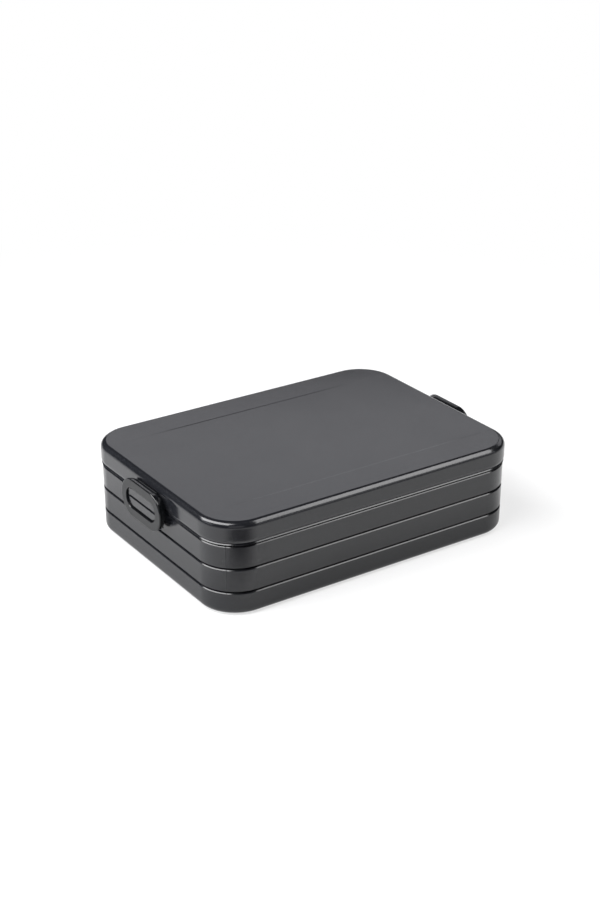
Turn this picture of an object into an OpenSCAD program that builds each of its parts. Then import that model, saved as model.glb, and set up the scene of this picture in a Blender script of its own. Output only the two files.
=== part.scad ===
// Two-clip lunch box: a banded tub, a cap lid with a seal, and a loop clip on a pin at each end.
// Millimetres, +Z up. The origin is on the table, under the middle of the box. X runs along the box.

/* [Box] */
// Length of the lid along X, without the clips
box_length = 240; // [210:1:280]
// Width of the lid along Y
box_width = 176; // [150:1:200]
// Height from the table to the top of the lid
box_height = 65; // [62:1:75]
// Outside radius of the lid's upright corners
corner_radius = 27.5; // [22:0.5:32]

/* [Base tub] */
// How far the lid stands out past the base all round
lid_overhang = 0.8; // [0.5:0.1:1.2]
// How far the wall leans in from the joint down to the table
base_draft = 0.4; // [0.2:0.1:1.2]
// Thickness of the floor
floor_thickness = 2.4; // [1.8:0.1:3.6]
// Round along the outside bottom edge
bottom_round = 4.4; // [3:0.1:5.5]
// Round between the floor and the wall, inside
floor_round = 4; // [2:0.5:8]
// Height of one band, from groove to groove
band_pitch = 16.6; // [14:0.1:17]
// Height of a groove
groove_height = 1.6; // [1:0.1:2]
// Depth of a groove
groove_depth = 1; // [0.6:0.1:1.3]
// Width of the band that the box stands on
foot_width = 14; // [9:1:24]
// How far the underside is sunk inside that band
foot_sink = 0.6; // [0.3:0.1:0.8]

/* [Lid] */
// Height of the lid, from the middle of the joint line to the top
lid_height = 16; // [15:0.5:18]
// Height of the open line between the lid and the base
joint_gap = 1.8; // [1.2:0.1:2.2]
// Thickness of the lid's top, under the panel
deck_wall = 2.2; // [1.8:0.1:3]
// Thickness of the lid's skirt
skirt_wall = 1.8; // [1.4:0.1:2.2]
// Round along the lid's top edge
lid_edge_round = 4.4; // [2.5:0.1:4.8]
// Height of the skirt's foot, which curves in to the base
skirt_curve = 3; // [2:0.5:5]
// Length of the sunk panel in the lid's top
panel_length = 188; // [160:1:192]
// Width of the sunk panel
panel_width = 123; // [100:1:130]
// How far the panel is sunk
panel_sink = 0.35; // [0.2:0.05:0.6]
// Length over which the panel fades out at each end
panel_fade = 34; // [20:1:45]

/* [Rim and seal] */
// Space between the base's rim and the lid's skirt
rim_clearance = 0.3; // [0.3:0.05:0.6]
// Thickness of the base's rim
rim_wall = 1.6; // [1.3:0.1:2.2]
// Height of the seal
seal_height = 2.2; // [1.6:0.1:3]
// Space on each side of the seal in its channel
seal_side_gap = 0.1; // [0.05:0.05:0.2]
// Space left between the rim and the seal
seal_gap = 0.1; // [0.05:0.05:0.2]
// Space between the rim and the rib inside it
rib_clearance = 0.4; // [0.3:0.05:0.7]
// Thickness of the rib that holds the seal
rib_wall = 1.4; // [1:0.1:2]
// How far the rib hangs below the lid's top
rib_drop = 5; // [4:0.5:7]

/* [Clips] */
// How far a clip's face stands out from the lid
clip_standout = 7.2; // [7.1:0.1:9]
// Width of a clip
clip_width = 51; // [46:1:60]
// Height of a clip, centred on the joint line
clip_height = 26.8; // [26:0.2:27.6]
// Width of the bar that forms the loop
clip_bar = 6.3; // [5.8:0.1:7]
// Thickness of the loop's front plate
clip_plate = 2; // [1.8:0.1:2.1]
// Thickness of the loop's outer rim
clip_rim = 1.8; // [1.4:0.1:2]
// Space between the back of the rim and the lid
clip_back_gap = 2.5; // [2.3:0.1:3]
// Round along the outer front edge
clip_edge_round = 1.2; // [0.8:0.1:1.5]
// Bevel along the edge of the loop's hole
clip_hole_bevel = 0.7; // [0.4:0.1:1]
// Space between the loop's hole and the pad in it
pad_gap = 0.7; // [0.6:0.1:1]
// How far the pad's face lies behind the clip's face
pad_sink = 1.2; // [1:0.1:1.6]
// Space between the pad and the lid's end face
pad_clearance = 0.5; // [0.4:0.1:0.8]

/* [Hinges] */
// Radius of a hinge pin
pin_radius = 1; // [0.8:0.05:1.1]
// Running space between a pin and the base's lug, on the radius
pin_clearance = 0.05; // [0.03:0.01:0.08]
// Space between a pin and the clip that carries it, on the radius
pin_fit = 0.02; // [0.01:0.01:0.03]
// Material round the pin
knuckle_wall = 1; // [0.9:0.05:1.1]
// Height of the hinge line above the clip's lower edge
hinge_rise = 3.1; // [2.9:0.1:3.3]
// Space that the turning parts keep from each other
hinge_gap = 0.3; // [0.2:0.05:0.4]
// Thickness of the arm that joins the lug to the wall
lug_arm = 3; // [2.4:0.1:3]

/* [Snap] */
// Space between the lid's catch and the back of the clip's rim
catch_gap = 0.9; // [0.7:0.1:1.2]
// Height of the catch on the lid
catch_height = 2; // [1.4:0.1:2.4]
// Space between the catch and the lip above it
snap_gap = 0.3; // [0.2:0.05:0.5]
// Height of the soft lip
lip_height = 2; // [1.5:0.1:2.4]
// Space between the tip of the lip and the lid
lip_tip_gap = 0.5; // [0.4:0.05:0.8]

/* [Hidden] */
$fn = 96;
// Small step by which one shape reaches into the next
bite = 0.5;

// Levels, from the table up
joint_z = box_height - lid_height;
shoulder_z = joint_z - joint_gap / 2;
skirt_z = joint_z + joint_gap / 2;
panel_z = box_height - panel_sink;
under_deck_z = panel_z - deck_wall;
seal_z = under_deck_z - seal_height;
rim_top_z = seal_z - seal_gap;

// Distances in from the lid's outside
rim_inset = skirt_wall + rim_clearance;
inside_inset = rim_inset + rim_wall;
rib_inset = inside_inset + rib_clearance;

// Radii of the upright corners, all about the same corner lines
base_r = corner_radius - lid_overhang;
inside_r = corner_radius - inside_inset;
lean = atan(base_draft / shoulder_z);
inside_lean = atan(base_draft / rim_top_z);

// Clip, measured out from the lid's end face and along the loop
clip_half = clip_height / 2;
clip_z = joint_z;
clip_straight = clip_width / 2 - clip_half;
clip_depth = clip_standout - clip_back_gap;
clip_hole_r = clip_half - clip_bar;
plate_back = clip_standout - clip_plate;
pad_r = clip_hole_r - pad_gap;
pad_out = clip_standout - pad_sink;

// Hinge line
knuckle_r = pin_radius + knuckle_wall;
hinge_out = plate_back - hinge_gap - knuckle_r;
hinge_z = clip_z - clip_half + hinge_rise;
hinge_drop = clip_z - hinge_z;
lug_half = clip_straight - 1.2;
boss_start = lug_half + hinge_gap;
pin_half = clip_straight + sqrt(pow(clip_half, 2) - pow(hinge_drop + pin_radius, 2)) - hinge_gap / 2;

// Snap: a soft lip under the loop's top rim, over a catch on the lid
lip_top_z = clip_z + clip_half - clip_rim;
lip_z = lip_top_z - lip_height;
lip_half = clip_straight - 1;
catch_reach = clip_back_gap - catch_gap;
catch_top_z = lip_z - snap_gap;
catch_half = lip_half - 1;

// Sweep of a profile round the upright corners, filled in the middle.
// The profile's x is the distance from a corner line, its y is the height.
module sweep_solid(z_low, z_high) {
    sx = box_length / 2 - corner_radius;
    sy = box_width / 2 - corner_radius;
    sweep_ring() children();
    translate([-sx, -sy, z_low]) cube([2 * sx, 2 * sy, z_high - z_low]);
}

module sweep_ring() {
    sx = box_length / 2 - corner_radius;
    sy = box_width / 2 - corner_radius;
    for (half = [0, 180]) rotate([0, 0, half]) {
        translate([sx, sy, 0]) rotate_extrude(angle = 90) children();
        translate([-sx, sy, 0]) rotate([0, 0, 90]) rotate_extrude(angle = 90) children();
        translate([-sx, sy, 0]) rotate([90, 0, 90]) linear_extrude(2 * sx) children();
        rotate([0, 0, -90]) translate([-sy, sx, 0]) rotate([90, 0, 90]) linear_extrude(2 * sy) children();
    }
}

// What a round takes off the lower outer corner of a profile whose wall leans out by an angle
module corner_waste(at, r, angle) {
    t = r / tan((90 + angle) / 2);
    up = [sin(angle), cos(angle)];
    out = [cos(angle), -sin(angle)];
    mid = at + [-t, r];
    difference() {
        polygon([mid, at + [-t, 0], at + [-t, -bite], at + [bite, -bite], at + t * up + bite * out,
            at + t * up]);
        translate(mid) circle(r);
    }
}

function wall_r(z) = base_r - base_draft * (1 - z / shoulder_z);

module groove(z) {
    r = groove_height / 2;
    translate([wall_r(z) - groove_depth + r, z]) {
        circle(r);
        translate([0, -r]) square([groove_depth + base_draft, groove_height]);
    }
}

module base_outside() {
    difference() {
        union() {
            polygon([[0, 0], [wall_r(0), 0], [base_r, shoulder_z], [0, shoulder_z]]);
            translate([0, shoulder_z - bite]) square([corner_radius - rim_inset, rim_top_z - shoulder_z + bite]);
        }
        corner_waste([wall_r(0), 0], bottom_round, lean);
        for (band = [1, 2]) groove(joint_z - band * band_pitch);
    }
}

module base_inside() {
    low_r = inside_r - base_draft * (1 - floor_thickness / rim_top_z);
    difference() {
        polygon([[0, floor_thickness], [low_r, floor_thickness], [inside_r, rim_top_z],
            [inside_r, rim_top_z + bite], [0, rim_top_z + bite]]);
        corner_waste([low_r, floor_thickness], floor_round, inside_lean);
    }
}

// Moves a shape drawn for the right end, with x out from the lid's end face, to one end
module at_end(side) {
    rotate([0, 0, side > 0 ? 0 : 180]) translate([box_length / 2, 0, 0]) children();
}

// A bar along Y round the hinge line
module hinge_bar(r, y_low, y_high) {
    translate([hinge_out, y_low, hinge_z]) rotate([-90, 0, 0]) cylinder(r = r, h = y_high - y_low);
}

module hinge_lug() {
    root = lid_overhang + base_draft + groove_depth;
    hinge_bar(knuckle_r, -lug_half, lug_half);
    translate([-root, -lug_half, hinge_z - lug_arm / 2]) cube([root + hinge_out, 2 * lug_half, lug_arm]);
}

// Flat shape with round ends, as the loop's hole and what goes through it
module round_ended(r) {
    square([2 * clip_straight, 2 * r], center = true);
    for (s = [-1, 1]) translate([s * clip_straight, 0]) circle(r);
}

// Pad on the base's end wall that the loop closes round. It goes up in front of the lid,
// and a groove across it carries the joint line on.
module loop_pad() {
    root = lid_overhang + base_draft + groove_depth;
    half = clip_straight + pad_r + bite;
    difference() {
        translate([-root, 0, clip_z]) rotate([90, 0, 90]) linear_extrude(root + pad_out) round_ended(pad_r);
        translate([-root - bite, -half, shoulder_z])
            cube([root + bite + pad_clearance, 2 * half, pad_r + joint_gap]);
        translate([pad_out - groove_depth, -half, joint_z - groove_height / 2])
            cube([groove_depth + bite, 2 * half, groove_height]);
    }
}

module base_tub() {
    color("#4b4c50") difference() {
        union() {
            difference() {
                sweep_solid(0, rim_top_z) base_outside();
                sweep_solid(floor_thickness, rim_top_z + bite) base_inside();
                sweep_solid(-bite, foot_sink) translate([0, -bite])
                    square([corner_radius - foot_width, foot_sink + bite]);
            }
            for (side = [-1, 1]) at_end(side) {
                hinge_lug();
                loop_pad();
            }
        }
        for (side = [-1, 1]) at_end(side)
            hinge_bar(pin_radius + pin_clearance, -lug_half - bite, lug_half + bite);
    }
}

// The skirt's foot follows a large round that ends flush with the base
module lid_outside() {
    foot_r = (pow(skirt_curve, 2) + pow(lid_overhang, 2)) / (2 * lid_overhang);
    difference() {
        translate([0, skirt_z]) square([corner_radius, box_height - skirt_z]);
        translate([corner_radius - lid_edge_round, box_height - lid_edge_round]) difference() {
            square(lid_edge_round + bite);
            circle(lid_edge_round);
        }
        difference() {
            translate([corner_radius - lid_overhang - bite, skirt_z - bite])
                square([lid_overhang + 2 * bite, skirt_curve + bite]);
            translate([corner_radius - foot_r, skirt_z + skirt_curve]) circle(foot_r);
        }
    }
}

// Room above the sunk panel, which rises to the lid's top at both ends
module panel_room() {
    reach = panel_length / 2;
    flat = reach - panel_fade;
    translate([0, panel_width / 2, 0]) rotate([90, 0, 0]) linear_extrude(panel_width)
        polygon([[-reach, box_height], [-flat, panel_z], [flat, panel_z], [reach, box_height],
            [reach, box_height + bite], [-reach, box_height + bite]]);
}

// Catch on the lid's end face: flat on top, sloped below
module lid_catch() {
    rotate([90, 0, 0]) translate([0, 0, -catch_half]) linear_extrude(2 * catch_half)
        polygon([[-skirt_wall / 2, catch_top_z], [catch_reach, catch_top_z],
            [catch_reach, catch_top_z - catch_height / 2], [0, catch_top_z - catch_height],
            [-skirt_wall / 2, catch_top_z - catch_height]]);
}

module lid_shell() {
    color("#4f5054") union() {
        difference() {
            sweep_solid(skirt_z, box_height) lid_outside();
            sweep_solid(skirt_z - bite, under_deck_z) translate([0, skirt_z - bite])
                square([corner_radius - skirt_wall, under_deck_z - skirt_z + bite]);
            panel_room();
        }
        sweep_ring() translate([corner_radius - rib_inset - rib_wall, under_deck_z - rib_drop])
            square([rib_wall, rib_drop + bite]);
        for (side = [-1, 1]) at_end(side) lid_catch();
    }
}

// Square ring with a bevelled lower edge on both sides
module lid_seal() {
    outer = corner_radius - skirt_wall - seal_side_gap;
    inner = corner_radius - rib_inset + seal_side_gap;
    bevel = (outer - inner) / 5;
    color("#8b8d90") sweep_ring()
        polygon([[inner, under_deck_z], [inner, seal_z + bevel], [inner + bevel, seal_z],
            [outer - bevel, seal_z], [outer, seal_z + bevel], [outer, under_deck_z]]);
}

// Section of the loop: x out from the middle line of an end, y out from the lid's end face
module loop_section() {
    r = clip_edge_round;
    difference() {
        union() {
            translate([clip_hole_r, plate_back]) square([clip_bar, clip_plate]);
            translate([clip_half - clip_rim, clip_back_gap]) square([clip_rim, clip_depth]);
        }
        translate([clip_half - r, clip_standout - r]) difference() {
            square(r + bite);
            circle(r);
        }
        polygon([[clip_hole_r - bite, clip_standout - clip_hole_bevel - bite],
            [clip_hole_r + clip_hole_bevel + bite, clip_standout + bite],
            [clip_hole_r - bite, clip_standout + bite]]);
    }
}

// Loop with its long way along Y and its face out along +X
module loop() {
    translate([0, 0, clip_z]) rotate([90, 0, 90]) {
        for (half = [0, 180]) rotate([0, 0, half]) {
            translate([clip_straight, 0, 0]) rotate([0, 0, -90]) rotate_extrude(angle = 180) loop_section();
            translate([-clip_straight, 0, 0]) rotate([90, 0, 90]) linear_extrude(2 * clip_straight) loop_section();
        }
    }
}

// Room inside the loop up to the middle of its rim, from the lid's end face out
module loop_room(depth) {
    r = clip_half - clip_rim / 2;
    translate([0, 0, clip_z]) rotate([90, 0, 90]) linear_extrude(depth) round_ended(r);
}

// Bosses behind the loop's lower corners, which carry the pin's ends
module clip_bosses() {
    long = pin_half - boss_start;
    deep = plate_back + clip_plate / 4;
    intersection() {
        for (s = [0, 1]) mirror([0, s, 0]) {
            hinge_bar(knuckle_r, boss_start, boss_start + long);
            translate([hinge_out, boss_start, hinge_z - knuckle_r])
                cube([deep - hinge_out, long, 2 * knuckle_r]);
        }
        loop_room(deep);
    }
}

module clip() {
    difference() {
        union() {
            loop();
            clip_bosses();
        }
        translate([0, -boss_start, clip_z - clip_half - bite])
            cube([plate_back, 2 * boss_start, hinge_rise + knuckle_r + bite]);
        hinge_bar(pin_radius + pin_fit, -clip_width / 2, clip_width / 2);
    }
}

module snap_lip() {
    translate([lip_tip_gap, -lip_half, lip_z]) cube([plate_back - lip_tip_gap, 2 * lip_half, lip_height]);
}

module left_clip() { color("#3b3c3f") at_end(-1) clip(); }
module right_clip() { color("#3b3c3f") at_end(1) clip(); }
module left_snap_lip() { color("#2c2d2f") at_end(-1) snap_lip(); }
module right_snap_lip() { color("#2c2d2f") at_end(1) snap_lip(); }
module left_hinge_pin() { color("#b9bcc0") at_end(-1) hinge_bar(pin_radius, -pin_half, pin_half); }
module right_hinge_pin() { color("#b9bcc0") at_end(1) hinge_bar(pin_radius, -pin_half, pin_half); }

base_tub();
lid_shell();
lid_seal();
left_clip();
right_clip();
left_snap_lip();
right_snap_lip();
left_hinge_pin();
right_hinge_pin();
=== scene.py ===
# %% [markdown]
# # A two-clip lunch box
#
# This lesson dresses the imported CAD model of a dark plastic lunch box. The real box is a moulded tub with
# three bands, a cap lid with a soft seal, and a loop clip on a steel pin at each short end. The CAD model
# fixes every size and every joint. Here each part is modelled again with soft edges and its real finish.
# Blender works in metres, and the sizes of a box are easier in millimetres, so one constant turns one into
# the other.

# %% Load the frame
import math

import bmesh
import bpy
from mathutils import Matrix, Vector


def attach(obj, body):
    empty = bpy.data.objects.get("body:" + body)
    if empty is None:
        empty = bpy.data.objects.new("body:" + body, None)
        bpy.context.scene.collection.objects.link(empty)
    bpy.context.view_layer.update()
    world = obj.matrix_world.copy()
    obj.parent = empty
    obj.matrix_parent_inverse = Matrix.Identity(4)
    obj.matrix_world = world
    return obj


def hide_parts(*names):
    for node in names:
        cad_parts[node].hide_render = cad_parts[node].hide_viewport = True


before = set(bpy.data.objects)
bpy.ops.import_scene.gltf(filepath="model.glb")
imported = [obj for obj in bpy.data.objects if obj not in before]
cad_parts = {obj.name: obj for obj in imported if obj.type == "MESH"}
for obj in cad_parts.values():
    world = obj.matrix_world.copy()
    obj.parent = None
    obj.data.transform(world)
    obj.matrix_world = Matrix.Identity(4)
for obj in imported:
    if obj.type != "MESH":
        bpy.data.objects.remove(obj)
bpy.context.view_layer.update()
MM = 0.001


# %% [markdown]
# The sizes are the ones that the CAD model uses. Every level is counted up from the table. Every distance out
# or in is counted from the outside of the lid, because all the walls of a moulded box follow the same outline.

# %% Sizes of the box
LONG, WIDE, TALL, CORNER = 240, 176, 65, 27.5  # the lid's outside, and the round of its corners
LID_TALL, JOINT_GAP, PANEL_SINK, DECK = 16, 1.3, 0.35, 2.2
OVERHANG, DRAFT, FLOOR = 0.8, 0.4, 2.4  # the tub stands back under the lid, and its wall leans
SKIRT, RIM_GAP, RIM, RIB_GAP, RIB, RIB_DROP = 1.8, 0.3, 1.6, 0.4, 1.4, 5
SEAL_TALL, SEAL_GAP = 2.2, 0.1
end_x, side_y = LONG / 2 - CORNER, WIDE / 2 - CORNER
joint_z = TALL - LID_TALL
shoulder_z, skirt_z = joint_z - JOINT_GAP / 2, joint_z + JOINT_GAP / 2
under_z = TALL - PANEL_SINK - DECK
seal_z = under_z - SEAL_TALL
rim_z = seal_z - SEAL_GAP
rim_in = SKIRT + RIM_GAP
inside_in = rim_in + RIM
rib_in = inside_in + RIB_GAP
print("joint line at", joint_z, "mm, rim top at", round(rim_z, 2), "mm")

# %% [markdown]
# A photograph is matched by its camera first. The outline and the grooves of the box give the place, the
# aim and the lens. The long side of the picture is 900 pixels and the sensor is 36 mm, so a lens of 67 mm
# looks down on the box from its front left corner, a little over a metre away. The box sits a little below
# the middle of the picture, so the frame is shifted by 40 pixels.

# %% Camera
CAMERA_AT, LENS, SENSOR = (-585.9, -867.7, 535.4), 67.22, 36
AIM_TURN, AIM_DOWN = math.radians(-33.92), math.radians(23.26)
SHIFT_PX, PICTURE_PX = -40, 900
camera_data = bpy.data.cameras.new("photo_camera")
camera_data.lens, camera_data.sensor_width = LENS, SENSOR
camera_data.shift_y = SHIFT_PX / PICTURE_PX
camera = bpy.data.objects.new("photo_camera", camera_data)
bpy.context.scene.collection.objects.link(camera)
camera.location = Vector(CAMERA_AT) * MM
camera.rotation_euler = (math.pi / 2 - AIM_DOWN, 0, AIM_TURN)
bpy.context.scene.camera = camera
print("camera at", [round(v, 3) for v in camera.location], "m")

# %% [markdown]
# Three small functions serve every finish. One turns the hex value that a colour picker shows into the linear
# numbers that a shader works with, by the sRGB curve. One adds a node, sets it up and links it in one go. One
# starts a material and hands back its shader.

# %% Colour and node helpers
def linear(code):
    parts = [int(code[i:i + 2], 16) / 255 for i in (1, 3, 5)]
    return [c / 12.92 if c <= 0.04045 else ((c + 0.055) / 1.055) ** 2.4 for c in parts] + [1]


def node(tree, kind, links=None, inputs=None, **settings):
    made = tree.nodes.new("ShaderNode" + kind)
    for key, value in settings.items():
        setattr(made, key, value)
    for key, value in (inputs or {}).items():
        made.inputs[key].default_value = value
    for key, source in (links or {}).items():
        tree.links.new(source, made.inputs[key])
    return made


def new_material(name):
    made = bpy.data.materials.new(name)
    made.use_nodes = True
    return made, made.node_tree, made.node_tree.nodes["Principled BSDF"]


print("mid grey in linear light:", round(linear("#808080")[0], 3))

# %% [markdown]
# Charcoal ABS is a hard plastic that comes out of a polished steel mould with a half gloss. Its own colour
# is very dark, and the greys in the photograph are mostly the studio reflected in it. The mould leaves a
# grain finer than a pixel, which is drawn here at 0.7 mm so that it shows. The melt flows unevenly, which
# changes colour and gloss a little over a few centimetres. Handling adds a haze of fine specks. Three noises,
# each with its own size in millimetres, give these without any picture file.

# %% Moulded ABS
GRAIN_MM, FLOW_MM, HAZE_MM, NOISE_DETAIL = 0.7, 45, 2.2, 3
FLOW_ENDS, FLOW_SHADES = (0.3, 0.7), (0.94, 1.06)
HAZE_LOW, HAZE_HIGH, GLOSS_SWING, GRAIN_TALL = 0.7, 1.3, 0.025, 0.05
ABS_ROUGH, ABS_GRAIN, ABS_IOR = 0.17, 0.07, 1.54


def moulded_plastic(name, colour, rough, grain_share, ior):
    material, tree, surface = new_material(name)
    place = node(tree, "TexCoord").outputs["Object"]
    flow, haze, grain = [
        node(tree, "TexNoise", {"Vector": place},
             {"Scale": 1 / (size * MM), "Detail": NOISE_DETAIL}).outputs["Fac"]
        for size in (FLOW_MM, HAZE_MM, GRAIN_MM)]
    shade = node(tree, "ValToRGB", {"Fac": flow})
    for end, at, change in zip(shade.color_ramp.elements, FLOW_ENDS, FLOW_SHADES):
        end.position, end.color = at, [c * change for c in linear(colour)[:3]] + [1]
    both = node(tree, "Math", {0: flow, 1: haze}, operation="ADD").outputs["Value"]
    gloss = node(tree, "MapRange", {"Value": both},
                 {"From Min": HAZE_LOW, "From Max": HAZE_HIGH,
                  "To Min": rough - GLOSS_SWING, "To Max": rough + GLOSS_SWING})
    bump = node(tree, "Bump", {"Height": grain}, {"Strength": grain_share, "Distance": GRAIN_TALL * MM})
    tree.links.new(shade.outputs["Color"], surface.inputs["Base Color"])
    tree.links.new(gloss.outputs["Result"], surface.inputs["Roughness"])
    tree.links.new(bump.outputs["Normal"], surface.inputs["Normal"])
    surface.inputs["IOR"].default_value = ior
    return material


lid_abs = moulded_plastic("moulded_abs_lid", "#17181b", ABS_ROUGH, ABS_GRAIN, ABS_IOR)
# The tub gets a copy a shade darker than the lid's. That is painted shade, set to darken its grooves, and it
# darkens its walls as well.
tub_abs_painted_darker = moulded_plastic("moulded_abs_tub", "#141518", ABS_ROUGH, ABS_GRAIN, ABS_IOR)
print("finishes:", lid_abs.name, tub_abs_painted_darker.name)

# %% [markdown]
# Where the parts of a mould meet, they leave a fine raised line. On this tub it runs down the outside of each
# corner. It stands up by a tenth of a millimetre, too little to model, so a bump draws it. Folding the
# coordinates by ABSOLUTE makes one line serve all four corners, and a mask keeps it off the inside.

# %% The mould's parting line
SEAM_MM, SEAM_TALL, SEAM_STRENGTH, SEAM_INSET = 0.5, 0.1, 0.6, 2.5
DIAGONAL = 0.707  # a step of one at 45 degrees goes this far along and across


def parting_line(material):
    tree = material.node_tree
    surface = tree.nodes["Principled BSDF"]
    place = node(tree, "TexCoord").outputs["Object"]
    folded = node(tree, "VectorMath", {0: place}, operation="ABSOLUTE")
    across = node(tree, "VectorMath", {0: folded.outputs["Vector"]}, {1: (DIAGONAL, -DIAGONAL, 0)},
                  operation="DOT_PRODUCT")
    off = node(tree, "Math", {0: across.outputs["Value"]}, {1: DIAGONAL * (end_x - side_y) * MM},
               operation="SUBTRACT")
    near = node(tree, "Math", {0: off.outputs[0]}, operation="ABSOLUTE")
    ridge = node(tree, "MapRange", {"Value": near.outputs[0]}, {"From Min": SEAM_MM * MM, "From Max": 0},
                 interpolation_type="SMOOTHSTEP")
    reach = node(tree, "SeparateXYZ", {0: folded.outputs["Vector"]}).outputs["X"]
    outside = node(tree, "Math", {0: reach}, {1: (end_x + DIAGONAL * (CORNER - SEAM_INSET)) * MM},
                   operation="GREATER_THAN")
    ridge = node(tree, "Math", {0: ridge.outputs["Result"], 1: outside.outputs[0]}, operation="MULTIPLY")
    grain_bump = surface.inputs["Normal"].links[0].from_socket
    line = node(tree, "Bump", {"Height": ridge.outputs[0], "Normal": grain_bump},
                {"Strength": SEAM_STRENGTH, "Distance": SEAM_TALL * MM})
    tree.links.new(line.outputs["Normal"], surface.inputs["Normal"])


parting_line(tub_abs_painted_darker)
print("parting line", SEAM_MM, "mm to each side on", tub_abs_painted_darker.name)

# %% [markdown]
# The clips are moulded in polypropylene, which is tougher than ABS and bends without breaking. The mould gives
# their flat face a satin grain and leaves the sides polished, so the face looks even and the sides look dark.
# The face looks along the box, so the surface's own direction tells the two apart. A second material could do
# it too, but then the change would be a hard line and not run over the rounded edge.

# %% Satin polypropylene
CLIP_ROUGH, CLIP_GRAIN, CLIP_IOR = 0.46, 0.2, 1.49
SIDE_ROUGH, FACE_START, FACE_FULL = 0.12, 0.75, 0.97


def polished_sides(material, rough):
    """Polishes all but the flat face."""
    tree = material.node_tree
    surface = tree.nodes["Principled BSDF"]
    folded = node(tree, "VectorMath", {0: node(tree, "TexCoord").outputs["Normal"]}, operation="ABSOLUTE")
    facing = node(tree, "SeparateXYZ", {0: folded.outputs["Vector"]}).outputs["X"]
    satin = surface.inputs["Roughness"].links[0].from_socket
    gloss = node(tree, "MapRange", {"Value": facing, "To Max": satin},
                 {"From Min": FACE_START, "From Max": FACE_FULL, "To Min": rough})
    tree.links.new(gloss.outputs["Result"], surface.inputs["Roughness"])


clip_satin = moulded_plastic("satin_polypropylene", "#101113", CLIP_ROUGH, CLIP_GRAIN, CLIP_IOR)
polished_sides(clip_satin, SIDE_ROUGH)
print("finish:", clip_satin.name)

# %% [markdown]
# Silicone and rubber are soft and dull, with a broad, weak shine. The seal is a grey silicone. The snap lips
# are a dark rubber with a dry bloom on it. One noise at the bloom's size moves colour, gloss and bump together,
# because on the real thing the bloom causes all three.

# %% Silicone and rubber
BLOOM_DETAIL, BLOOM_ENDS, BLOOM_SHADES = 4, (0.3, 0.75), (0.9, 1.12)
BLOOM_SWING, BLOOM_STRENGTH, BLOOM_TALL, RUBBER_IOR = 0.08, 0.1, 0.05, 1.41


def soft_rubber(name, colour, rough, bloom_mm):
    material, tree, surface = new_material(name)
    place = node(tree, "TexCoord").outputs["Object"]
    bloom = node(tree, "TexNoise", {"Vector": place},
                 {"Scale": 1 / (bloom_mm * MM), "Detail": BLOOM_DETAIL}).outputs["Fac"]
    shade = node(tree, "ValToRGB", {"Fac": bloom})
    for end, at, change in zip(shade.color_ramp.elements, BLOOM_ENDS, BLOOM_SHADES):
        end.position, end.color = at, [c * change for c in linear(colour)[:3]] + [1]
    gloss = node(tree, "MapRange", {"Value": bloom},
                 {"To Min": rough - BLOOM_SWING, "To Max": rough + BLOOM_SWING})
    bump = node(tree, "Bump", {"Height": bloom}, {"Strength": BLOOM_STRENGTH, "Distance": BLOOM_TALL * MM})
    tree.links.new(shade.outputs["Color"], surface.inputs["Base Color"])
    tree.links.new(gloss.outputs["Result"], surface.inputs["Roughness"])
    tree.links.new(bump.outputs["Normal"], surface.inputs["Normal"])
    surface.inputs["IOR"].default_value = RUBBER_IOR
    return material


seal_silicone = soft_rubber("moulded_silicone", "#8b8d90", rough=0.45, bloom_mm=1.5)
lip_rubber = soft_rubber("soft_rubber", "#242527", rough=0.6, bloom_mm=1.0)
print("finishes:", seal_silicone.name, lip_rubber.name)

# %% [markdown]
# The pins are drawn steel wire. Pulling it through a die leaves it bright, with fine lines along it. Noise that
# is stretched along the wire draws them, 0.3 mm apart, which is coarser than the real ones so that they show.

# %% Drawn steel
WIRE_LINE_MM, WIRE_STRETCH, WIRE_ROUGH = 0.3, 0.03, (0.2, 0.4)
WIRE_STRENGTH, WIRE_TALL = 0.15, 0.02
pin_steel, tree, surface = new_material("drawn_steel")
stretched = node(tree, "Mapping", {"Vector": node(tree, "TexCoord").outputs["Object"]},
                 {"Scale": (1, WIRE_STRETCH, 1)})
lines = node(tree, "TexNoise", {"Vector": stretched.outputs["Vector"]},
             {"Scale": 1 / (WIRE_LINE_MM * MM), "Detail": NOISE_DETAIL})
gloss = node(tree, "MapRange", {"Value": lines.outputs["Fac"]},
             {"To Min": WIRE_ROUGH[0], "To Max": WIRE_ROUGH[1]})
bump = node(tree, "Bump", {"Height": lines.outputs["Fac"]},
            {"Strength": WIRE_STRENGTH, "Distance": WIRE_TALL * MM})
tree.links.new(gloss.outputs["Result"], surface.inputs["Roughness"])
tree.links.new(bump.outputs["Normal"], surface.inputs["Normal"])
surface.inputs["Base Color"].default_value = linear("#b9bcc0")
surface.inputs["Metallic"].default_value = 1
print("finish:", pin_steel.name)

# %% [markdown]
# The walls of the tub and the lid follow one rounded outline, so each part can be made by carrying a section
# round it. By hand that is: draw the section as a wire, spin it round a corner, pull it along a side, and
# repeat until it meets its start. A curve with a bevel object would do it too, but this way keeps an edge
# loop wherever the wall changes, and the corners come out as true rounds.

# %% Drawing and carrying a section
MERGE_WITHIN = 0.002


def only(thing):
    bpy.ops.object.select_all(action="DESELECT")
    thing.select_set(True)
    bpy.context.view_layer.objects.active = thing


def draw(name, points):
    """A wire through points in mm, drawn by pulling one vertex on to the next place."""
    bpy.ops.object.select_all(action="DESELECT")
    bpy.ops.mesh.primitive_plane_add(size=MM)
    thing = bpy.context.object
    thing.name = thing.data.name = name
    bpy.ops.object.mode_set(mode="EDIT")
    bpy.ops.mesh.select_mode(type="VERT")
    bpy.ops.mesh.select_all(action="SELECT")
    bpy.ops.mesh.merge(type="CENTER")
    bpy.ops.transform.translate(value=Vector(points[0]) * MM)
    for here, there in zip(points, points[1:]):
        step = (Vector(there) - Vector(here)) * MM
        bpy.ops.mesh.extrude_vertices_move(TRANSFORM_OT_translate={"value": step})
    bpy.ops.mesh.select_all(action="SELECT")
    return thing


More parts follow.
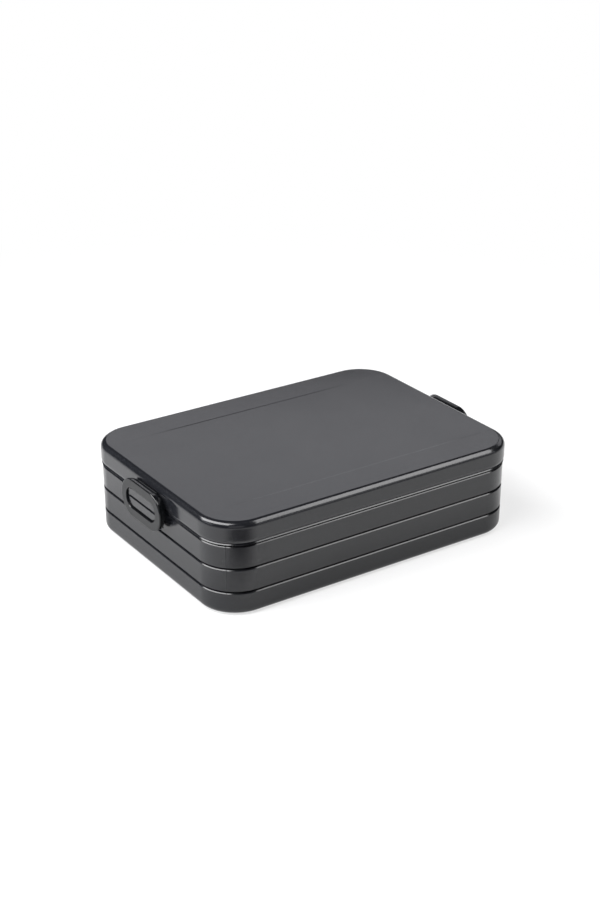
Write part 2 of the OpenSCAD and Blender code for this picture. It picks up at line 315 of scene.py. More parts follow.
def merge():
    bpy.ops.mesh.select_all(action="SELECT")
    bpy.ops.mesh.remove_doubles(threshold=MERGE_WITHIN * MM)
    bpy.ops.mesh.normals_make_consistent(inside=False)


def carry(corners, axis, turn, steps):
    """Carries the drawn wire round corners and along the sides between them, until it meets its start."""
    for here, there in zip(corners, corners[1:] + corners[:1]):
        bpy.ops.mesh.spin(steps=steps, angle=-turn, center=Vector(here) * MM, axis=axis)
        side = (Vector(there) - Vector(here)) * MM
        bpy.ops.mesh.extrude_edges_move(TRANSFORM_OT_translate={"value": side})
    merge()


def arc(middle, r, start, end, steps):
    """Points of a round in a section, between two angles in degrees."""
    turns = [math.radians(start + (end - start) * i / steps) for i in range(steps + 1)]
    return [(middle[0] + r * math.cos(t), middle[1] + r * math.sin(t)) for t in turns]


print("points closer than", MERGE_WITHIN, "mm become one")

# %% [markdown]
# The tub, the lid and the seal all go round the same four corners. Their sections stand where the right end
# meets its rear corner, and each point of a section is a distance out from the lid's end face and a height.

# %% The way round the box
CORNER_STEPS = 32
box_corners = [(end_x, side_y, 0), (-end_x, side_y, 0), (-end_x, -side_y, 0), (end_x, -side_y, 0)]


def carry_round(name, section):
    thing = draw(name, [(LONG / 2 + out, side_y, up) for out, up in section])
    carry(box_corners, (0, 0, 1), math.pi / 2, CORNER_STEPS)
    print(name, "section of", len(section), "points")
    return thing


print("corner lines at", box_corners)

# %% [markdown]
# An open section leaves a hole at each end of the wire. Picking its rim by height and filling it gives the
# floor or the deck. The same picking by place serves for every later step, so it is a helper of its own. The
# last helper softens the shading, gives a piece its finish and puts it on the body that it moves with.

# %% Picking, filling and finishing
NEAR, SHARP_TURN = 0.01, math.radians(35)


def pick(thing, kind, test):
    """Selects the faces, edges or vertices that pass a test on their middle in mm and on themselves."""
    bpy.ops.mesh.select_mode(type=kind)
    bpy.ops.mesh.select_all(action="DESELECT")
    shape = bmesh.from_edit_mesh(thing.data)
    shape.normal_update()
    for part in {"FACE": shape.faces, "EDGE": shape.edges, "VERT": shape.verts}[kind]:
        points = [part.co] if kind == "VERT" else [v.co for v in part.verts]
        middle = sum(points, Vector()) / len(points) / MM
        if test(middle, part):
            part.select_set(True)
    shape.select_flush_mode()
    bmesh.update_edit_mesh(thing.data)


def is_sharp(edge):
    return edge.calc_face_angle(0) > SHARP_TURN


def fill_at(thing, height):
    pick(thing, "EDGE", lambda middle, edge: edge.is_boundary and abs(middle.z - height) < NEAR)
    bpy.ops.mesh.edge_face_add()
    merge()


def finish_piece(thing, body, replaced, material):
    if thing.mode == "EDIT":
        bpy.ops.object.mode_set(mode="OBJECT")
    only(thing)
    bpy.ops.object.shade_smooth_by_angle(angle=SHARP_TURN)
    bpy.ops.object.modifier_add(type="WEIGHTED_NORMAL")
    thing.modifiers[-1].keep_sharp = True
    bpy.ops.object.modifier_apply(modifier=thing.modifiers[-1].name)
    thing.data.materials.clear()
    thing.data.materials.append(material)
    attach(thing, body)
    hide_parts(replaced)
    print(thing.name, "has", len(thing.data.polygons), "faces")


print("an edge is sharp past", round(math.degrees(SHARP_TURN)), "degrees")

# %% [markdown]
# The tub's section starts under the foot band, turns up round the bottom edge, and climbs the leaning wall.
# Two grooves part it into bands. Under a groove the band ends in a slope of 45 degrees that catches the light,
# and over it the next band ends in a crisp edge. The shoulder slopes off in the same way. Above it a thin rim
# goes up inside the lid, and the section comes down the inside to the floor.

# %% The tub
FOOT_BAND, FOOT_SINK, BOTTOM_ROUND, FLOOR_ROUND, RIM_ROUND, CHAMFER = 14, 0.6, 4.4, 4, 0.5, 0.2
BAND, GROOVE_DEEP, SLOT_TALL, BAND_EDGE = 16.6, 1.8, 1.5, 0.15
SLOPE_DEEP, SLOPE_ROUND, SLOPE_TURN = 0.55, 0.25, 45


def wall_in(z):
    return OVERHANG + DRAFT * (1 - z / shoulder_z)


def slope(face, top_z):
    """The upper end of a band: its face turns over a small round into the slope."""
    tangent = SLOPE_ROUND * math.tan(math.radians(SLOPE_TURN / 2))
    points = arc((face - SLOPE_ROUND, top_z - SLOPE_DEEP - tangent), SLOPE_ROUND, 0, SLOPE_TURN, steps=5)
    return points + [(face - SLOPE_DEEP, top_z)]


def groove(z):
    face, edge_z = -wall_in(z), z + (SLOT_TALL + SLOPE_DEEP) / 2
    points = slope(face, edge_z - SLOT_TALL)
    points += [(face - GROOVE_DEEP, edge_z - SLOT_TALL), (face - GROOVE_DEEP, edge_z)]
    return points + arc((face - BAND_EDGE, edge_z + BAND_EDGE), BAND_EDGE, -90, 0, steps=4)


tub_section = [(-FOOT_BAND, FOOT_SINK), (-FOOT_BAND, CHAMFER), (CHAMFER - FOOT_BAND, 0)]
tub_section += arc((-wall_in(BOTTOM_ROUND) - BOTTOM_ROUND, BOTTOM_ROUND), BOTTOM_ROUND, -90, 0, steps=10)
tub_section += groove(joint_z - 2 * BAND) + groove(joint_z - BAND)
tub_section += slope(-OVERHANG, shoulder_z)
tub_section += [(CHAMFER - rim_in, shoulder_z), (-rim_in, shoulder_z + CHAMFER)]
tub_section += arc((-rim_in - RIM_ROUND, rim_z - RIM_ROUND), RIM_ROUND, 0, 90, steps=4)
tub_section += arc((RIM_ROUND - inside_in, rim_z - RIM_ROUND), RIM_ROUND, 90, 180, steps=4)
tub_section += arc((-inside_in - DRAFT - FLOOR_ROUND, FLOOR + FLOOR_ROUND), FLOOR_ROUND, 0, -90, steps=8)
tub = carry_round("tub", tub_section)
fill_at(tub, FOOT_SINK)
fill_at(tub, FLOOR)
bpy.ops.object.mode_set(mode="OBJECT")

# %% [markdown]
# Each clip turns on a lug that is moulded on the end wall. A lug is a bar with a round nose and a bored hole.
# It is drawn as an outline, pulled along, and melted into the wall with a boolean, as the mould does. Every
# such piece is made at the right end, and made again and turned half round for the left.

# %% Bars, rods and booleans
HINGE_OUT, HINGE_Z, ROD_SIDES = 2.9, 38.7, 48


def bar(name, outline, half, ease=0):
    """A bar across the right end with that outline, eased along its edges."""
    thing = draw(name, [(LONG / 2 + out, -half, up) for out, up in outline])
    bpy.ops.mesh.edge_face_add()
    bpy.ops.mesh.extrude_region_move(TRANSFORM_OT_translate={"value": (0, 2 * half * MM, 0)})
    merge()
    if ease:
        pick(thing, "EDGE", lambda middle, edge: is_sharp(edge))
        bpy.ops.mesh.bevel(offset=ease * MM, segments=3)
    bpy.ops.object.mode_set(mode="OBJECT")
    return thing


def rod(name, r, half):
    """A round bar on the hinge line of the right end."""
    bpy.ops.object.select_all(action="DESELECT")
    bpy.ops.mesh.primitive_cylinder_add(radius=r * MM, depth=2 * half * MM, vertices=ROD_SIDES,
                                        rotation=(math.pi / 2, 0, 0),
                                        location=((LONG / 2 + HINGE_OUT) * MM, 0, HINGE_Z * MM))
    thing = bpy.context.object
    thing.name = thing.data.name = name
    bpy.ops.object.transform_apply(location=True, rotation=True, scale=True)
    return thing


def turn_round(thing):
    """Turns a piece half round the upright axis, from the right end to the left."""
    only(thing)
    bpy.ops.object.mode_set(mode="EDIT")
    bpy.ops.mesh.select_all(action="SELECT")
    bpy.ops.transform.rotate(value=math.pi, orient_axis="Z", center_override=(0, 0, 0))
    bpy.ops.object.mode_set(mode="OBJECT")
    return thing


def as_made(thing):
    return thing


def combine(thing, other, operation):
    """Melts another solid into a piece, or cuts the piece with it."""
    only(thing)
    bpy.ops.object.modifier_add(type="BOOLEAN")
    step = thing.modifiers[-1]
    step.operation, step.object, step.solver = operation, other, "EXACT"
    bpy.ops.object.modifier_apply(modifier=step.name)
    bpy.data.objects.remove(other)


BOTH_ENDS = (as_made, turn_round)
print("hinge line", HINGE_OUT, "mm out at", HINGE_Z, "mm")

# %% [markdown]
# The lug's outline starts inside the wall, so that the two solids overlap and the boolean has no faces to
# choose between. The bore goes right through and a little past each end for the same reason.

# %% Hinge lugs
PIN_R, PIN_PLAY, KNUCKLE_R, LUG_ARM, LUG_HALF, LUG_EASE = 1, 0.05, 2, 3, 10.9, 0.25
THROUGH = 1  # a cut goes this far past what it cuts
neck = math.degrees(math.asin(LUG_ARM / 2 / KNUCKLE_R))
root = -OVERHANG - DRAFT - GROOVE_DEEP
lug_outline = [(root, HINGE_Z - LUG_ARM / 2)]
lug_outline += arc((HINGE_OUT, HINGE_Z), KNUCKLE_R, neck - 180, 180 - neck, steps=28)
lug_outline += [(root, HINGE_Z + LUG_ARM / 2)]
for place in BOTH_ENDS:
    combine(tub, place(bar("lug", lug_outline, LUG_HALF, LUG_EASE)), "UNION")
    combine(tub, place(rod("bore", PIN_R + PIN_PLAY, LUG_HALF + THROUGH)), "DIFFERENCE")
print("lugs out to", HINGE_OUT + KNUCKLE_R, "mm")

# %% [markdown]
# Each clip closes round a pad with round ends, which stands on the end wall and goes up in front of the lid. A
# groove across its face carries the joint line on. The outline is drawn once, pulled out from the wall, and
# eased along its front edge. Two bars cut the room for the lid and the groove.

# %% Pads inside the clips
CLIP_Z, CLIP_HALF, CLIP_STRAIGHT, CLIP_BAR, CLIP_OUT = 49, 13.4, 12.1, 6.3, 7.2
PAD_GAP, PAD_SINK, PAD_CLEAR, PAD_EASE, PAD_SLOT = 0.95, 1.25, 0.5, 0.3, 1.3
hole_r = CLIP_HALF - CLIP_BAR
pad_r, pad_out = hole_r - PAD_GAP, CLIP_OUT - PAD_SINK
clip_reach = CLIP_STRAIGHT + CLIP_HALF


def round_ended(name, r, low, high):
    """A block with round ends across the right end, from low to high out from the lid."""
    outline = arc((CLIP_STRAIGHT, CLIP_Z), r, -90, 90, steps=32)
    outline += arc((-CLIP_STRAIGHT, CLIP_Z), r, 90, 270, steps=32)
    thing = draw(name, [(LONG / 2 + low, y, z) for y, z in outline])
    bpy.ops.mesh.edge_face_add()
    bpy.ops.mesh.extrude_region_move(TRANSFORM_OT_translate={"value": ((high - low) * MM, 0, 0)})
    merge()
    bpy.ops.object.mode_set(mode="OBJECT")
    return thing


def loop_pad():
    pad = round_ended("pad", pad_r, root, pad_out)
    lid_room = [(root - THROUGH, shoulder_z), (PAD_CLEAR, shoulder_z), (PAD_CLEAR, TALL),
                (root - THROUGH, TALL)]
    combine(pad, bar("lid_room", lid_room, clip_reach), "DIFFERENCE")
    slot_low, slot_high = joint_z - PAD_SLOT / 2, joint_z + PAD_SLOT / 2
    slot_in, slot_out = pad_out - GROOVE_DEEP, pad_out + THROUGH
    slot = [(slot_in, slot_low), (slot_out, slot_low), (slot_out, slot_high), (slot_in, slot_high)]
    combine(pad, bar("slot", slot, clip_reach), "DIFFERENCE")
    only(pad)
    bpy.ops.object.mode_set(mode="EDIT")
    pick(pad, "EDGE", lambda middle, edge: is_sharp(edge) and abs(middle.x - LONG / 2 - pad_out) < NEAR)
    bpy.ops.mesh.bevel(offset=PAD_EASE * MM, segments=4)
    bpy.ops.object.mode_set(mode="OBJECT")
    return pad


for place in BOTH_ENDS:
    combine(tub, place(loop_pad()), "UNION")
finish_piece(tub, "base", "base_tub", tub_abs_painted_darker)

# %% [markdown]
# The lid's section starts at the edge of its flat top, rounds over, and falls down the skirt. The foot of the
# skirt curves in, then flares out again to a fine edge just above the tub. On the real lid that flare draws a
# bright line along the joint. Inside, a rib hangs down and holds the seal in a channel.

# %% The lid
LID_ROUND, EASE, RIB_ROUND = 4.4, 0.3, 1
FLARE_IN, FLARE_OUT, FLARE_TALL, FOOT_TALL, FLARE_EDGE, FLARE_TURN = 1.05, 0.4, 0.65, 3, 0.1, 40
flare_z = skirt_z + FLARE_EDGE + FLARE_TALL
foot_r = (FOOT_TALL ** 2 + FLARE_IN ** 2) / (2 * FLARE_IN)
foot_turn = math.degrees(math.asin(FOOT_TALL / foot_r))
rib_z = under_z - RIB_DROP
lid_section = arc((-LID_ROUND, TALL - LID_ROUND), LID_ROUND, 90, 0, steps=16)
lid_section += arc((-foot_r, flare_z + FOOT_TALL), foot_r, 0, -foot_turn, steps=8)
lid_section += arc((-FLARE_OUT - FLARE_EDGE, skirt_z + FLARE_EDGE), FLARE_EDGE, FLARE_TURN, -90, steps=4)
lid_section += [(EASE - SKIRT, skirt_z), (-SKIRT, skirt_z + EASE)]
lid_section += [(-SKIRT, under_z - EASE), (-SKIRT - EASE, under_z), (EASE - rib_in, under_z)]
lid_section += [(-rib_in, under_z - EASE), (-rib_in, rib_z + EASE), (-rib_in - EASE, rib_z)]
lid_section += [(EASE - rib_in - RIB, rib_z), (-rib_in - RIB, rib_z + EASE)]
lid_section += arc((-rib_in - RIB - RIB_ROUND, under_z - RIB_ROUND), RIB_ROUND, 0, 90, steps=4)
lid = carry_round("lid", lid_section)
fill_at(lid, TALL)
fill_at(lid, under_z)

# %% [markdown]
# The top has a panel that is sunk by a fifth of a millimetre. Its long sides are soft steps that show as two
# fine lines, and both ends rise to nothing. The flat top is cut with bisect into strips, and each row of
# vertices is let down by its share of a smooth step, which is how a crease this soft is kept clean.

# %% The sunk panel
PANEL_LONG, PANEL_WIDE, PANEL_FADE = 176, 123, 34
LINE_DEEP, STEP_WIDE, STEP_ROWS = 0.2, 1.0, 6
DECK_NEAR, DECK_FLAT, ROW_SLACK = 0.005, 0.99, 1
flat_x = PANEL_LONG / 2 - PANEL_FADE
step_share = [row / STEP_ROWS for row in range(STEP_ROWS + 1)]
step_y = [PANEL_WIDE / 2 + STEP_WIDE * (0.5 - share) for share in step_share]


def on_deck(middle, face):
    return face.normal.z > DECK_FLAT and abs(middle.z - TALL) < DECK_NEAR


cuts = [((0, 1, 0), side * y) for side in (1, -1) for y in step_y]
cuts += [((1, 0, 0), side * x) for side in (1, -1) for x in (PANEL_LONG / 2, flat_x)]
for way, place in cuts:
    pick(lid, "FACE", on_deck)
    bpy.ops.mesh.bisect(plane_co=Vector(way) * place * MM, plane_no=way)
for share, y in zip(step_share[1:], step_y[1:]):
    pick(lid, "VERT", lambda middle, vert: middle.z > TALL - DECK_NEAR
         and abs(middle.x) < flat_x + ROW_SLACK and abs(abs(middle.y) - y) < NEAR)
    smooth_share = share ** 2 * (3 - 2 * share)
    bpy.ops.transform.translate(value=(0, 0, -LINE_DEEP * smooth_share * MM))
merge()
bpy.ops.object.mode_set(mode="OBJECT")
print("panel sunk by", LINE_DEEP, "mm, steps", STEP_WIDE, "mm wide")

# %% [markdown]
# A small catch on each end of the lid is what the clip's lip snaps over. It is flat on top and sloped below.
# It is a short bar like the lug, so the same helpers draw it and melt it into the skirt.

# %% Catches
CATCH_TOP, CATCH_TALL, CATCH_REACH, CATCH_HALF, CATCH_EASE = 58.3, 2, 1.6, 10.1, 0.25
catch_fall = CATCH_TALL / 2 * (1 + SKIRT / 2 / CATCH_REACH)
catch_outline = [(-SKIRT / 2, CATCH_TOP), (CATCH_REACH, CATCH_TOP),
                 (CATCH_REACH, CATCH_TOP - CATCH_TALL / 2),
                 (-SKIRT / 2, CATCH_TOP - CATCH_TALL / 2 - catch_fall)]
for place in BOTH_ENDS:
    combine(lid, place(bar("catch", catch_outline, CATCH_HALF, CATCH_EASE)), "UNION")
finish_piece(lid, "lid", "lid_shell", lid_abs)

# %% [markdown]
# The seal is a soft ring in the lid's channel. The tub's rim comes up under its lower face, which is rounded at
# both edges. Its section is closed, so carrying it round gives a finished ring with nothing to fill.

# %% The seal
SEAL_SIDE, SEAL_BEVEL, SEAL_ROOF = 0.1, 0.42, 0.05
seal_out, seal_in, seal_top = -SKIRT - SEAL_SIDE, SEAL_SIDE - rib_in, under_z - SEAL_ROOF
seal_section = [(seal_in, seal_top), (seal_in, seal_z + SEAL_BEVEL)]
seal_section += arc((seal_in + SEAL_BEVEL, seal_z + SEAL_BEVEL), SEAL_BEVEL, 180, 270, steps=4)
seal_section += arc((seal_out - SEAL_BEVEL, seal_z + SEAL_BEVEL), SEAL_BEVEL, -90, 0, steps=4)
seal_section += [(seal_out, seal_top), (seal_in, seal_top)]
seal = carry_round("seal", seal_section)
finish_piece(seal, "lid", "lid_seal", seal_silicone)

# %% [markdown]
# A clip is a loop with a flat face and a rim that reaches back. The rim draws in towards the wall, so that the
# mould can let it go, and has a fine step. The section is closed, so carrying it round two half turns gives a
# finished ring. The right clip is modelled, then copied and turned for the left end.

# %% The clip's loop
CLIP_BACK, CLIP_PLATE, CLIP_RIM, CLIP_ROUND, HOLE_BEVEL = 2.5, 2, 1.8, 0.8, 0.25
STEP_OUT, STEP_IN, RIM_LEAN, CLIP_STEPS = 3.8, 0.25, 0.2, 48
plate_back, rim_r = CLIP_OUT - CLIP_PLATE, CLIP_HALF - CLIP_RIM
step_r = CLIP_HALF - RIM_LEAN * (CLIP_OUT - CLIP_ROUND - STEP_OUT)
back_r = step_r - STEP_IN - RIM_LEAN * (STEP_OUT - CLIP_BACK)
loop_section = [(hole_r + CHAMFER, plate_back), (hole_r, plate_back + CHAMFER)]
loop_section += [(hole_r, CLIP_OUT - HOLE_BEVEL), (hole_r + HOLE_BEVEL, CLIP_OUT)]
loop_section += arc((CLIP_HALF - CLIP_ROUND, CLIP_OUT - CLIP_ROUND), CLIP_ROUND, 90, 0, steps=6)
loop_section += [(step_r, STEP_OUT + STEP_IN), (step_r - STEP_IN, STEP_OUT)]
loop_section += [(back_r, CLIP_BACK + CHAMFER), (back_r - CHAMFER, CLIP_BACK)]
loop_section += [(rim_r + CHAMFER, CLIP_BACK), (rim_r, CLIP_BACK + CHAMFER)]
loop_section += [(rim_r, plate_back - EASE), (rim_r - EASE, plate_back)]
loop_section += loop_section[:1]
right_clip = draw("right_loop", [(LONG / 2 + out, CLIP_STRAIGHT, CLIP_Z - r) for r, out in loop_section])
clip_ends = [(0, CLIP_STRAIGHT, CLIP_Z), (0, -CLIP_STRAIGHT, CLIP_Z)]
carry(clip_ends, (1, 0, 0), math.pi, CLIP_STEPS)
bpy.ops.object.mode_set(mode="OBJECT")
print("clip section of", len(loop_section), "points")

# %% [markdown]
# Behind the lower corners of the loop, two bosses hold the ends of the pin. The rim is cut away between
# them, where the tub's lug goes. Blocks and booleans are the plain way to model moulded ribs like these. Each
# block goes a little past the faces that it meets, because a boolean can't tell two faces in one plane apart.

# %% Bosses, notch and bore
BOSS_START, BOSS_ROOT, ROOM_ROOT = 11.2, 0.5, 0.4
PIN_HALF, PIN_FIT, CUT_SLACK, CUT_LOW, CUT_HIGH = 19.15, 0.02, 0.05, 30, 45
boss_low, boss_high = HINGE_Z - KNUCKLE_R, HINGE_Z + KNUCKLE_R
boss_outline = arc((HINGE_OUT, HINGE_Z), KNUCKLE_R, 90, 270, steps=18)
boss_outline += [(plate_back + BOSS_ROOT, boss_low), (plate_back + BOSS_ROOT, boss_high)]
bosses = bar("bosses", boss_outline, PIN_HALF)
gap_out = plate_back + THROUGH
gap_outline = [(0, CUT_LOW), (0, CUT_HIGH), (gap_out, CUT_HIGH), (gap_out, CUT_LOW)]
combine(bosses, bar("gap", gap_outline, BOSS_START), "DIFFERENCE")
combine(bosses, round_ended("room", CLIP_HALF - CLIP_RIM / 2, 0, plate_back + ROOM_ROOT), "INTERSECT")
combine(right_clip, bosses, "UNION")
notch_top, notch_out = boss_high + CUT_SLACK, plate_back + CUT_SLACK
notch_outline = [(0, CUT_LOW), (0, notch_top), (notch_out, notch_top), (notch_out, CUT_LOW)]
combine(right_clip, bar("notch", notch_outline, BOSS_START + CUT_SLACK), "DIFFERENCE")
combine(right_clip, rod("bore", PIN_R + PIN_FIT, clip_reach), "DIFFERENCE")
print("right clip has", len(right_clip.data.polygons), "faces")

# %% [markdown]
# The snap lip is a separate soft strip under the top of the loop, with a round nose. The pin is a length of
# wire with eased ends. Both are made at the right end like the clip.

# %% Snap lip and pin
LIP_LOW, LIP_TALL, LIP_GAP, LIP_HALF, LIP_EASE, NOSE_SHARE, PIN_EASE = 58.6, 2, 0.5, 11.1, 0.15, 0.45, 0.2
nose = LIP_TALL * NOSE_SHARE
lip_outline = [(plate_back, LIP_LOW), (plate_back, LIP_LOW + LIP_TALL)]
lip_outline += arc((LIP_GAP + nose, LIP_LOW + LIP_TALL - nose), nose, 90, 180, steps=6)
lip_outline += arc((LIP_GAP + nose, LIP_LOW + nose), nose, 180, 270, steps=6)
right_lip = bar("right_soft_lip", lip_outline, LIP_HALF, LIP_EASE)
right_pin = rod("right_pin", PIN_R, PIN_HALF)
bpy.ops.object.mode_set(mode="EDIT")
pick(right_pin, "EDGE", lambda middle, edge: is_sharp(edge))
bpy.ops.mesh.bevel(offset=PIN_EASE * MM, segments=2)
bpy.ops.object.mode_set(mode="OBJECT")
print("lip", 2 * LIP_HALF, "mm long, pin", 2 * PIN_HALF, "mm long")

# %% [markdown]
# The left clip, lip and pin are copies of the right ones, each with a mesh of its own, turned half round the
# upright axis. Each pair rides on the latch of its own end.

# %% Both latches
def left_copy(thing):
    only(thing)
    bpy.ops.object.duplicate(linked=False)
    copy = bpy.context.object
    copy.name = copy.data.name = thing.name.replace("right", "left")
    return turn_round(copy)


for right, cad, slot, material in ((right_clip, "clip", "clip_plastic", clip_satin),
                                   (right_lip, "snap_lip", "lip_rubber", lip_rubber),
                                   (right_pin, "hinge_pin", "pin_steel", pin_steel)):
    for thing, side in ((left_copy(right), "left"), (right, "right")):
        finish_piece(thing, side + "_latch", side + "_" + cad, material)

# %% [markdown]
# The studio floor is plain white paper. To the camera and in the gloss the paper glows white, and close to the
# box a part of it is left to the lamps, so that it keeps the shadow. Light Path tells these rays from the ones
# that only carry light. Paper lit by lamps alone would do too, but it never comes out as even as the paper in a
# product photograph.

# %% Paper floor
PAPER_WIDE, PAPER_Z, PAPER_ROUGH = 14, -0.5, 0.9  # metres wide, mm up
PAPER_GLOW, NEAR_SHARE, NEAR_R, FAR_R = 1.0, 0.62, 0.25, 0.7  # both distances in metres
bpy.ops.object.select_all(action="DESELECT")
bpy.ops.mesh.primitive_plane_add(size=PAPER_WIDE, location=(0, 0, PAPER_Z * MM))
floor = bpy.context.object
floor.name = "studio_floor"
paper, tree, surface = new_material("matt_white_paper")
surface.inputs["Base Color"].default_value = linear("#f2f2f2")
surface.inputs["Roughness"].default_value = PAPER_ROUGH
path = node(tree, "LightPath").outputs
seen = node(tree, "Math", {0: path["Is Camera Ray"], 1: path["Is Glossy Ray"]}, operation="ADD")
seen = node(tree, "Math", {0: seen.outputs[0], 1: path["Is Transmission Ray"]}, operation="ADD",
            use_clamp=True)
away = node(tree, "VectorMath", {0: node(tree, "TexCoord").outputs["Object"]}, operation="LENGTH")
share = node(tree, "MapRange", {"Value": away.outputs["Value"]},
             {"From Min": NEAR_R, "From Max": FAR_R, "To Min": NEAR_SHARE, "To Max": 1},
             interpolation_type="SMOOTHSTEP")
mixed = node(tree, "Math", {0: seen.outputs[0], 1: share.outputs["Result"]}, operation="MULTIPLY")
glow = node(tree, "Emission", None, {"Strength": PAPER_GLOW})
both = node(tree, "MixShader", {0: mixed.outputs[0], 1: surface.outputs[0], 2: glow.outputs[0]})
tree.links.new(both.outputs[0], tree.nodes["Material Output"].inputs["Surface"])
floor.data.materials.append(paper)
print("floor of", paper.name)

# %% [markdown]
# Past the paper, the room is white to the camera. In the gloss it is dark. A glossy dark plastic shows the room
# more than its own colour, so it is the dark room that draws the black lines along the rounds of the lid.

# %% Room
ROOM_GLOW = 0.01
world = bpy.data.worlds.new("studio")
bpy.context.scene.world = world
world.use_nodes = True
tree = world.node_tree
path = node(tree, "LightPath").outputs
straight = node(tree, "Math", {0: path["Is Camera Ray"], 1: path["Is Transmission Ray"]}, operation="ADD",
                use_clamp=True)
level = node(tree, "MapRange", {"Value": straight.outputs[0]}, {"To Min": ROOM_GLOW})
tree.nodes["Background"].inputs["Color"].default_value = (1, 1, 1, 1)
tree.links.new(level.outputs["Result"], tree.nodes["Background"].inputs["Strength"])
print("room at", ROOM_GLOW, "in the gloss")

# %% [markdown]
# Photographers lay black cards, called flags, where a glossy thing needs a dark edge. Two dark cards lie on the
# paper here, and only the gloss sees them. The camera and the lamps pass through, so they paint dark into the
# reflections alone. A disc in front of the near corner paints a dark reflection on the round of the corner, so
# that it falls off to dark. A sheet under the box paints shade into the paper's reflection close to the walls,
# where the box would shade the paper. Both fade to nothing.

# %% Black flags, painted dark reflections
FLAG_AT, FLAG_R, FLAG_CORE, FLAG_SHARE = (-145, -212, -0.3), 115, 35, 0.85
SHEET_Z, SHEET_REACH, SHEET_SHARE = -0.2, 55, 0.27


def paint_dark_reflection(flag, name, out_from, end, core, most):
    """A black card that shows in the gloss alone as a painted dark reflection, most of all within core mm and
    not at all past end mm.
    """
    flag.visible_camera = flag.visible_diffuse = flag.visible_transmission = flag.visible_shadow = False
    card, tree, surface = new_material(name)
    surface.inputs["Base Color"].default_value = linear("#050505")
    surface.inputs["Roughness"].default_value = 1
    fade = node(tree, "MapRange", {"Value": out_from(tree, node(tree, "TexCoord").outputs["Object"])},
                {"From Min": end * MM, "From Max": core * MM, "To Max": most},
                interpolation_type="SMOOTHSTEP")
    clear = node(tree, "BsdfTransparent")
    faded = node(tree, "MixShader", {0: fade.outputs["Result"], 1: clear.outputs[0], 2: surface.outputs[0]})
    tree.links.new(faded.outputs[0], tree.nodes["Material Output"].inputs["Surface"])
    flag.data.materials.append(card)


def from_middle(tree, place):
    return node(tree, "VectorMath", {0: place}, operation="LENGTH").outputs["Value"]


def from_walls(tree, place):
    folded = node(tree, "VectorMath", {0: place}, operation="ABSOLUTE").outputs["Vector"]
    past = node(tree, "VectorMath", {0: folded}, {1: (LONG / 2 * MM, WIDE / 2 * MM, 0)},
                operation="SUBTRACT")
    ways = node(tree, "SeparateXYZ", {0: past.outputs["Vector"]}).outputs
    return node(tree, "Math", {0: ways["X"], 1: ways["Y"]}, operation="MAXIMUM").outputs[0]


bpy.ops.object.select_all(action="DESELECT")
# Painted dark reflection: a disc that only the gloss sees, in front of the near corner.
bpy.ops.mesh.primitive_circle_add(vertices=64, radius=FLAG_R * MM, fill_type="NGON",
                                  location=Vector(FLAG_AT) * MM)
disc = bpy.context.object
disc.name = "painted_dark_reflection_disc"
paint_dark_reflection(disc, "painted_dark_reflection_card", from_middle, FLAG_R, FLAG_CORE, FLAG_SHARE)
bpy.ops.object.select_all(action="DESELECT")
# Painted shade: a sheet that only the gloss sees, which darkens the paper's reflection close to the walls.
bpy.ops.mesh.primitive_plane_add(size=(LONG + 2 * SHEET_REACH) * MM, location=(0, 0, SHEET_Z * MM))
sheet = bpy.context.object
sheet.name = "painted_contact_shade_sheet"
paint_dark_reflection(sheet, "thin_black_card", from_walls, SHEET_REACH, 0, SHEET_SHARE)
print("flags:", disc.name, sheet.name)

# %% [markdown]
# A soft box is set by where it hangs, how it lies and how bright it looks. A lamp's watts follow from that
# brightness and its area. The key box on the left draws the white line round the near corner, and a long box on
# the right draws the light strip along the front edge. The left box lights the short end, and is kept out of
# the gloss, because the black line along the lid's left edge needs a dark room there. The back box shows in the
# lid's top, and a strip low behind it lights the front line of the sunk panel.

# %% Soft boxes
COOL = "#fafaff"
KEY_GLOW, RIGHT_GLOW, LEFT_GLOW, BACK_GLOW, STRIP_GLOW = 9.5, 5.8, 10, 0.98, 1.2


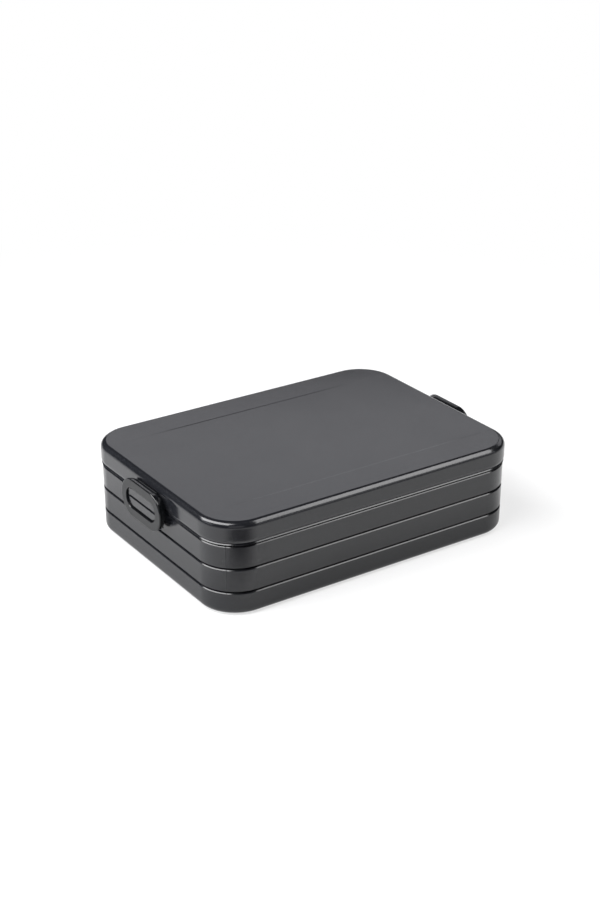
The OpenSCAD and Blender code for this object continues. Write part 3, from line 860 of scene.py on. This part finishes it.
def soft_box(name, way, far, along, size, glow, colour="#ffffff"):
    """A lamp of that size in metres, far away along way, with its long side along a direction."""
    out = Vector(way).normalized()
    across = out.cross(Vector(along)).normalized()
    long = across.cross(out)
    data = bpy.data.lights.new(name, "AREA")
    data.shape, data.size, data.size_y = "RECTANGLE", size[0], size[1]
    data.energy, data.color = glow * math.pi * size[0] * size[1], linear(colour)[:3]
    lamp = bpy.data.objects.new(name, data)
    bpy.context.scene.collection.objects.link(lamp)
    lamp.location = out * far
    lamp.rotation_euler = Matrix((long, across, out)).transposed().to_euler()
    return lamp


soft_box("key_box", (-0.55, 0.15, 0.80), 1.3, (0.2, -0.99, 0.33), (1.45, 0.65), KEY_GLOW)
soft_box("right_box", (0.53, -0.42, 0.74), 1.3, (0, -0.85, -0.53), (1.1, 0.5), RIGHT_GLOW)
left_box = soft_box("left_box", (-0.93, 0.25, 0.27), 1.5, (0, 1, 0), (1.2, 0.7), LEFT_GLOW, COOL)
left_box.visible_glossy = False
soft_box("back_box", (0.45, 0.73, 0.52), 2.0, (0.85, -0.53, 0), (1.04, 0.62), BACK_GLOW, COOL)
horizon_strip = soft_box("horizon_strip", (0.52, 0.84, 0.15), 2.0, (0.85, -0.53, 0), (1.3, 0.45),
                         STRIP_GLOW, COOL)
horizon_strip.visible_camera = False

# %% [markdown]
# The other sides of the box need something to show as well. Four dim boxes stand round it, so that the top
# and the walls still have a shine when the camera goes round. The view transform is Standard, so that a colour
# comes out as it is written.

# %% Dim fills
FILL_GLOW, FILL_FAR, FILL_SIZE = 1.0, 2.2, (1.3, 0.6)
for name, way, along in (("front_fill", (-0.43, -0.75, 0.45), (0.87, -0.5, 0)),
                         ("low_fill", (0.62, -0.74, 0.29), (0.77, 0.64, 0)),
                         ("right_fill", (0.85, 0.3, 0.43), (-0.33, 0.94, 0)),
                         ("left_fill", (-0.88, 0.3, 0.38), (0.32, 0.95, 0))):
    soft_box(name, way, FILL_FAR, along, FILL_SIZE, FILL_GLOW, COOL)
bpy.context.scene.view_settings.view_transform = "Standard"
print("fills at", FILL_FAR, "m, view transform", bpy.context.scene.view_settings.view_transform)
